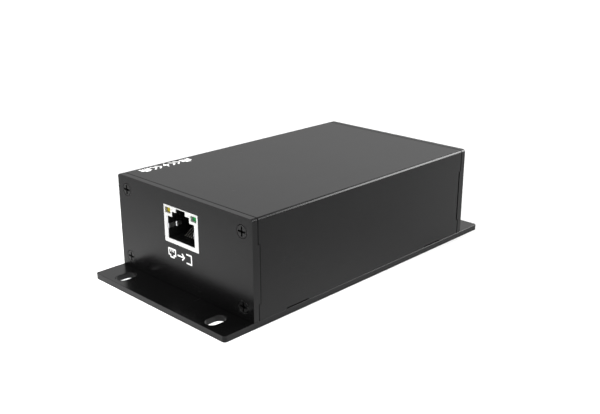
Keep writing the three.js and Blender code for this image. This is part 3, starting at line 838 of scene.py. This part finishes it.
def dc_header():
    low, high = node_box("dc_header")
    pin_z = node_centre("dc_plug_contact_1").z
    bm = cuboid(*zip(low, high))
    cutters = [cuboid((low.x + HEADER.wall, high.x - HEADER.wall), (low.y + HEADER.back, high.y + PAST),
                      (low.z + HEADER.wall, high.z - HEADER.wall))]
    cutters += [square_bore(x, pin_z, HEADER.pin_half, (low.y - PAST, low.y + HEADER.back + PAST))
                for x in pole_centres()]
    piece("dc_header_body", bevelled(cut(bm, *cutters), 0.12), LOOKS.green_nylon, replaces=["dc_header"])


def dc_plug():
    low, high = node_box("dc_plug")
    pin_z = node_centre("dc_plug_contact_1").z
    middle = (low.x + high.x) / 2
    outline = [(PLUG.front, low.z), (high.y, low.z), (high.y, PLUG.shoulder),
               (high.y - PLUG.chamfer, high.z), (PLUG.front, high.z)]
    body = prism(outline, X, low.x, high.x)
    tongue = cuboid(about(middle, TONGUE.half), (TONGUE.front, PLUG.front + PAST),
                    (TONGUE.low, TONGUE.high))
    above = high.z + PAST
    cutters = []
    for x in pole_centres():
        entry = rounded_rectangle(ENTRY.half, ENTRY.half, ENTRY.corner, (x, ENTRY.centre), 8)
        cutters += [
            cuboid(about(x, POCKET.half_x), about(CLAMP_Y, POCKET.half_y), (POCKET.low, POCKET.high)),
            square_bore(x, pin_z, TONGUE.bore_half, (TONGUE.front - PAST, CLAMP_Y)),
            prism(circle(WELL.neck, (x, CLAMP_Y), 40), Z, POCKET.high - PAST, above),
            prism(circle(WELL.radius, (x, CLAMP_Y), 56), Z, WELL.low, above),
            prism(entry, Y, CLAMP_Y, high.y + PAST),
            entry_funnel(x, high.y),
        ]
    cutters.append(cuboid(about(middle, PARTING.half), (high.y - PARTING.deep, high.y + PAST),
                          (low.z - PAST, PARTING.high)))
    for side in (-1, 1):
        edge = middle + side * (high.x - middle)
        for i in range(GRIP.count):
            y = PLUG.front + GRIP.first + GRIP.pitch * i
            cutters.append(cuboid(sorted((edge - side * GRIP.deep, edge + side * PAST)), (y, y + GRIP.wide),
                                  (GRIP.low, GRIP.high)))
    piece("dc_plug_body", bevelled(cut(join(body, tongue), *cutters), 0.1), LOOKS.green_nylon,
          body="dc_plug", replaces=["dc_plug"])


def entry_funnel(x, face):
    """A cutter that flares a wire entry at the plug's outer face."""
    rings = []
    for y, half in ((face - ENTRY.flare, ENTRY.half - 0.02), (face + 0.1, ENTRY.funnel)):
        outline = rounded_rectangle(half, half, ENTRY.corner, (x, ENTRY.centre), 8)
        rings.append([(u, y, v) for u, v in outline])
    return loft(rings)


def terminal_screw(i):
    node = f"dc_plug_screw_{i}"
    low, high = node_box(node)
    centre = node_centre(node)
    t = TERMINAL_SCREW
    top, neck = high.z, WELL.low + CLEAR
    profile = [(0, top), (t.head - 0.25, top), (t.head - 0.07, top - 0.07), (t.head, top - 0.25),
               (t.head, neck), (t.shank, neck), *thread(t.shank, neck - 0.2, low.z + 0.6, 0.5),
               (t.tip, low.z), (0, low.z)]
    slot = cuboid(about(0, t.head + PAST), about(0, t.slot_half), (top - t.slot_deep, top + PAST))
    bm = bevelled(cut(lathe(profile), slot), 0.03, angle=50)
    piece(f"{node}_body", shifted(bm, centre.x, centre.y), LOOKS.zinc, body=f"terminal_screw_{i}",
          replaces=[node])


def wire_clamp(i):
    node = f"dc_plug_clamp_{i}"
    low, high = node_box(node)
    centre = node_centre(node)
    outline = rounded_rectangle((high.x - low.x) / 2, (high.z - low.z) / 2, CLAMP.corner,
                                (centre.x, centre.z), 6)
    window = rounded_rectangle(CLAMP.half, CLAMP.half_high, 0.3, (centre.x, CLAMP.centre), 5)
    bm = cut(prism(outline, Y, low.y, high.y), prism(window, Y, low.y - PAST, high.y + PAST),
             prism(circle(CLAMP.bore, (centre.x, centre.y), 40), Z, CLAMP.floor, high.z + PAST))
    piece(f"{node}_body", bevelled(bm, 0.06), LOOKS.zinc, body=f"wire_clamp_{i}", replaces=[node])


def power_terminal():
    dc_header()
    dc_plug()
    for i in (1, 2):
        terminal_screw(i)
        wire_clamp(i)


# ---- earth stud

def earth_stud():
    low, high = node_box("earth_washer")
    centre = node_centre("earth_washer")
    thick = high.y - low.y
    w = WASHER
    washer = lathe([(w.bore, 0), (w.radius - w.edge, 0), (w.radius, w.edge), (w.radius, thick - w.edge),
                    (w.radius - w.edge, thick), (w.bore, thick), (w.bore, 0)])
    washer = shifted(moved(washer, HEAD_UP["+Y"]), centre.x, low.y, centre.z)
    piece("earth_washer_body", washer, LOOKS.brass, replaces=["earth_washer"])
    screw = moved(pan_screw(EARTH_SCREW), HEAD_UP["+Y"])
    piece("earth_screw_body", shifted(screw, centre.x, high.y + EARTH_SCREW.lift, centre.z), LOOKS.brass,
          replaces=["earth_screw"])


# ---- printed symbols

INK = 0.018               # thickness of the print
STROKE = 0.5              # width of a printed line
LABEL = Group(socket=3.4, socket_v=13.55, arrow=3.2, arrow_v=13.5, box_low=12.1, box_high=15,
              box_wide=2.3)
TOP_PRINT = (-28.75, -35.65)      # the middle of the row of symbols on the cover


def line(start, end, width=STROKE):
    """A printed line with round ends, as an outline."""
    (u0, v0), (u1, v1) = start, end
    angle = math.degrees(math.atan2(v1 - v0, u1 - u0))
    half = width / 2
    return arc(end, half, angle - 90, angle + 90, 8) + arc(start, half, angle + 90, angle + 270, 8)


def polyline(points, width=STROKE):
    return [line(a, b, width) for a, b in zip(points, points[1:])]


def placed(points, u, v, size):
    """A symbol's points, drawn about zero at a size of one, at their size and place."""
    return [(u + a * size, v + b * size) for a, b in points]


def socket_symbol(u, v, size):
    """A modular socket seen from the front: a frame with a stepped foot and contact marks."""
    corners = [(-0.5, 0.38), (0.5, 0.38), (0.5, -0.24), (0.25, -0.24), (0.25, -0.44),
               (-0.25, -0.44), (-0.25, -0.24), (-0.5, -0.24), (-0.5, 0.38)]
    marks = [line(*placed([(a, 0.36), (a, 0.12)], u, v, size), STROKE * 0.7) for a in (-0.22, 0, 0.22)]
    return polyline(placed(corners, u, v, size)) + marks


def filled_socket(u, v, size):
    """The same socket as a solid shape, with notches in its top edge for the contacts."""
    right = [(0.25, -0.46), (0.25, -0.24), (0.5, -0.24), (0.5, 0.42), (0.3, 0.42), (0.3, 0.08),
             (0.17, 0.08), (0.17, 0.42), (0.07, 0.42), (0.07, 0.08), (0, 0.08)]
    return [placed(both_sides(right), u, v, size)]


def arrow_symbol(u, v, size):
    return (polyline(placed([(-0.5, 0), (0.5, 0)], u, v, size))
            + polyline(placed([(0.2, 0.3), (0.5, 0), (0.2, -0.3)], u, v, size)))


def bolt_symbol(u, v, size):
    return [placed([(0.1, 0.5), (-0.3, -0.06), (-0.03, -0.06), (-0.1, -0.5), (0.3, 0.1), (0.03, 0.1)],
                   u, v, size)]


def chevrons(u, v, size, count):
    """Chevrons in a row, as one symbol each."""
    shape = [(-0.2, 0.42), (0.2, 0), (-0.2, -0.42)]
    return [polyline(placed(shape, u + c, v, size), STROKE * 1.2) for c in in_a_row(count, size * 0.55)]


def direct_current_symbol(u, v, size):
    """A long line over three short ones, as one symbol each."""
    marks = ((-0.5, 0.5, 0.16), (-0.5, -0.32, -0.16), (-0.09, 0.09, -0.16), (0.32, 0.5, -0.16))
    return [[line(*placed([(a, h), (b, h)], u, v, size))] for a, b, h in marks]


def earth_symbol(u, v, size):
    """The stem and its longest bar, then the two shorter bars."""
    rows = ((0.5, 0), (0.32, -0.24), (0.13, -0.48))
    bars = [line(*placed([(-w, h), (w, h)], u, v, size)) for w, h in rows]
    return [[line((u, v + size * 0.5), (u, v)), bars[0]], [bars[1]], [bars[2]]]


def plus_minus(u_plus, u_minus, v, size):
    half = size / 2
    return [[line((u_plus - half, v), (u_plus + half, v)), line((u_plus, v - half), (u_plus, v + half))],
            [line((u_minus - half, v), (u_minus + half, v))]]


def printed(name, place, *symbols):
    """Ink on a face: symbols clear of each other, each a list of outlines in U and V."""
    ink = [join(*(prism(outline, Z, 0, INK) for outline in symbol)) for symbol in symbols]
    piece(name, moved(together(*ink), place), LOOKS.ink)


def facing_place(u_axis, v_axis, origin):
    """A matrix that draws U and V along the given axes from an origin."""
    u, v = Vector(u_axis), Vector(v_axis)
    w = u.cross(v)
    matrix = Matrix((u, v, w)).transposed().to_4x4()
    matrix.translation = Vector(origin)
    return matrix


def open_box(u, way):
    """A box in a port's label, open to the arrow at u and drawn away from it."""
    far = u + way * LABEL.box_wide
    return polyline([(u, LABEL.box_high), (far, LABEL.box_high), (far, LABEL.box_low), (u, LABEL.box_low)])


def port_label(name, place, socket_u, arrow_u, box_u, way):
    """The label under a socket: socket, arrow and box, from their places along U."""
    printed(name, place, socket_symbol(socket_u, LABEL.socket_v, LABEL.socket),
            arrow_symbol(arrow_u, LABEL.arrow_v, LABEL.arrow), open_box(box_u, way))


def prints():
    top = node_box("cover")[1].z - SKIN
    on_front = facing_place((1, 0, 0), (0, 0, 1), (0, FRONT_FACE + SKIN, 0))
    port_label("input_print", on_front, -5.1, -0.6, 2.2, 1)
    on_top = facing_place((0, 1, 0), (-1, 0, 0), (*TOP_PRINT, top))
    arrows = chevrons(-3.8, 0, 3.6, 2) + chevrons(3.8, 0, 3.6, 2)
    printed("top_print", on_top, filled_socket(-8.4, 0, 3.9), filled_socket(8.4, 0, 3.9),
            bolt_symbol(0, 0, 4.6), *arrows)
    on_rear = facing_place((-1, 0, 0), (0, 0, 1), (0, REAR_FACE - SKIN, 0))
    nodes = ("output_jack_shield", "dc_header", "earth_screw")
    output, dc, earth = [-node_centre(node).x for node in nodes]
    port_label("output_print", on_rear, output + 4.1, output - 0.4, output - 2.4, -1)
    poles = sorted(-x for x in pole_centres())
    printed("dc_print", on_rear, *direct_current_symbol(dc, 11.6, 4.2), *plus_minus(*poles, 29.3, 1.8))
    printed("earth_print", on_rear, *earth_symbol(earth, 11.2, 3.6))


# ---- pieces inside the box

INSIDE = {
    "film": ["insulation_sheet"], "board": ["circuit_board"], "ceramic": ["board_fuse"],
    "tin": [f"dc_{part}_{i}" for part in ("header_pin", "plug_contact") for i in (1, 2)],
    "ferrite": ["transformer_core"], "tape": ["transformer_winding"], "copper": ["power_inductor"],
    "capacitor": ["bulk_capacitor_1", "bulk_capacitor_2"], "aluminium": ["heat_spreader"],
    "nylon": ["input_magnetics", "output_magnetics", "controller_chip", "power_transistor"],
    "zinc": [f"board_{part}_{i}" for part in ("standoff", "screw") for i in range(1, 5)],
}


def finish_inside():
    for look, nodes in INSIDE.items():
        for node in nodes:
            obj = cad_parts[node]
            if not obj.material_slots:
                obj.data.materials.append(None)
            for place in obj.material_slots:
                place.material = getattr(LOOKS, look)


# ---- studio

VIEW_AZIMUTH, VIEW_ELEVATION = math.radians(44.16), math.radians(19.02)
CAMERA_AT = Vector((0.19339, -0.19923, 0.11272))
FLOOR_HALF = 6
# The sky's brightness by height, which runs from 0 at the horizon to 1 overhead.
SKY = Group(start=0.05, peak=0.45, most=1.55, fall=(0.54, 0.76), least=0.4)
# It is a little dimmer towards -X: the range of X that the change takes, and its two factors.
DIM_SIDE = Group(start=-0.8, end=-0.45, low=0.89, high=1.1)
KEY = Group(towards=(0.35, -0.25, 0.9), power=1.52, angle=math.radians(50))
# Spot lights on the floor: each one's place, power, and the width of its cone in degrees.
POOLS = {"front": (-0.01, -0.049, 48, 10.6), "right": (0.02, 0.01, 2, 13.5)}
POOL = Group(height=0.95, soft=0.06)
# Four more, far out, which the object's sides reflect when they are looked at squarely.
FAR_POOL = Group(distance=0.5, power=120, cone=34)
# Area lights for the object alone: a strip behind it, and a card at each side.
STRIP = Group(at=(0.443, 0.78, 0.443), along=(-1, 0, 1), power=13, long=0.65, wide=0.35)
CARD = Group(distance=1.5, height=0.26, aim=0.02, power=6, long=1.0, wide=0.5)


def add_camera():
    back = Vector((math.sin(VIEW_AZIMUTH) * math.cos(VIEW_ELEVATION),
                   -math.cos(VIEW_AZIMUTH) * math.cos(VIEW_ELEVATION), math.sin(VIEW_ELEVATION)))
    data = bpy.data.cameras.new("camera")
    data.lens = 50
    data.sensor_width = 36
    data.sensor_fit = "HORIZONTAL"
    data.clip_start = 0.01
    camera = linked("camera", data)
    camera.location = CAMERA_AT
    camera.rotation_euler = back.to_track_quat("Z", "Y").to_euler()
    bpy.context.scene.camera = camera


def add_floor():
    bm = bmesh.new()
    bmesh.ops.create_grid(bm, x_segments=4, y_segments=4, size=FLOOR_HALF)
    floor = linked_solid("floor", bm)
    kit = new_material("pale floor", Roughness=0.9, IOR=1.3)
    kit.links.new(tinted(kit, noise(kit, (3, 3, 3)), (0.96, 0.96, 0.96), (0.98, 0.98, 0.98)),
                  kit.shader.inputs["Base Color"])
    floor.data.materials.append(kit.material)
    return floor


def aimed(location, target):
    return (Vector(location) - Vector(target)).to_track_quat("Z", "Y").to_euler()


def add_light(name, kind, location, target, power, **settings):
    data = bpy.data.lights.new(name, kind)
    data.energy = power
    for setting, value in settings.items():
        setattr(data, setting, value)
    light = linked(name, data)
    light.location = location
    light.rotation_euler = aimed(location, target)
    return light


def across(toward, length_axis):
    """The rotation of a light that shines from a direction, with its length along an axis."""
    z = toward.normalized()
    x = (length_axis - length_axis.dot(z) * z).normalized()
    return Matrix((x, z.cross(x), z)).transposed().to_euler()


def only_for(light, objects):
    """Keeps a light off everything but the given objects."""
    lit = bpy.data.collections.new(f"lit by {light.name}")
    for obj in objects:
        lit.objects.link(obj)
    light.light_linking.receiver_collection = lit


def add_world():
    """A surround with a brighter belt above its horizon, which the camera itself sees as white."""
    world = bpy.data.worlds.new("studio")
    world.use_nodes = True
    tree = world.node_tree
    nodes, links = tree.nodes, tree.links
    direction = nodes.new("ShaderNodeTexCoord")
    parts = nodes.new("ShaderNodeSeparateXYZ")
    links.new(direction.outputs["Generated"], parts.inputs["Vector"])
    rise = ranged(tree, parts.outputs["Z"], 0, SKY.most, SKY.start, SKY.peak)
    fall = ranged(tree, parts.outputs["Z"], 1, SKY.least / SKY.most, *SKY.fall)
    side = ranged(tree, parts.outputs["X"], DIM_SIDE.low, DIM_SIDE.high, DIM_SIDE.start, DIM_SIDE.end)
    strength = worked_out(tree, "MULTIPLY", worked_out(tree, "MULTIPLY", rise, fall), side)
    surround = nodes["Background"]
    backdrop = nodes.new("ShaderNodeBackground")
    for background in (surround, backdrop):
        background.inputs["Color"].default_value = (1, 1, 1, 1)
    links.new(strength, surround.inputs["Strength"])
    mix = nodes.new("ShaderNodeMixShader")
    ray = nodes.new("ShaderNodeLightPath")
    links.new(ray.outputs["Is Camera Ray"], mix.inputs["Fac"])
    links.new(surround.outputs["Background"], mix.inputs[1])
    links.new(backdrop.outputs["Background"], mix.inputs[2])
    links.new(mix.outputs["Shader"], nodes["World Output"].inputs["Surface"])
    bpy.context.scene.world = world


def add_panel_light(name, panel, location, target):
    """A soft rectangular light."""
    return add_light(name, "AREA", location, target, panel.power, shape="RECTANGLE", size=panel.long,
                     size_y=panel.wide)


def add_lights(floor):
    """A soft key light, pools of light on the floor, and soft cards that only the object sees."""
    pieces = [obj for obj in bpy.data.objects if obj.type == "MESH" and obj != floor]
    quarters = [(math.cos(a), math.sin(a)) for a in (math.radians(90 * i) for i in range(4))]
    add_light("key", "SUN", KEY.towards, (0, 0, 0), KEY.power, angle=KEY.angle)
    pools = dict(POOLS)
    for i, (x, y) in enumerate(quarters):
        pools[f"far {i}"] = (FAR_POOL.distance * x, FAR_POOL.distance * y, FAR_POOL.power, FAR_POOL.cone)
    for name, (x, y, power, cone) in pools.items():
        pool = add_light(f"pool {name}", "SPOT", (x, y, POOL.height), (x, y, 0), power,
                         spot_size=math.radians(cone), spot_blend=1.0, shadow_soft_size=POOL.soft)
        only_for(pool, [floor])
    strip = add_panel_light("strip", STRIP, STRIP.at, (0, 0, 0))
    strip.rotation_euler = across(Vector(STRIP.at), Vector(STRIP.along))
    only_for(strip, pieces)
    for i, (x, y) in enumerate(quarters):
        card = add_panel_light(f"card {i}", CARD, (CARD.distance * x, CARD.distance * y, CARD.height),
                               (0, 0, CARD.aim))
        only_for(card, pieces)
    bpy.context.scene.view_settings.view_transform = "Standard"


add_camera()
stage_floor = add_floor()
add_world()
base_plate()
cover()
panels()
flat_screws()
modular_socket("input", "-Y")
modular_socket("output", "+Y")
power_terminal()
earth_stud()
prints()
finish_inside()
add_lights(stage_floor)
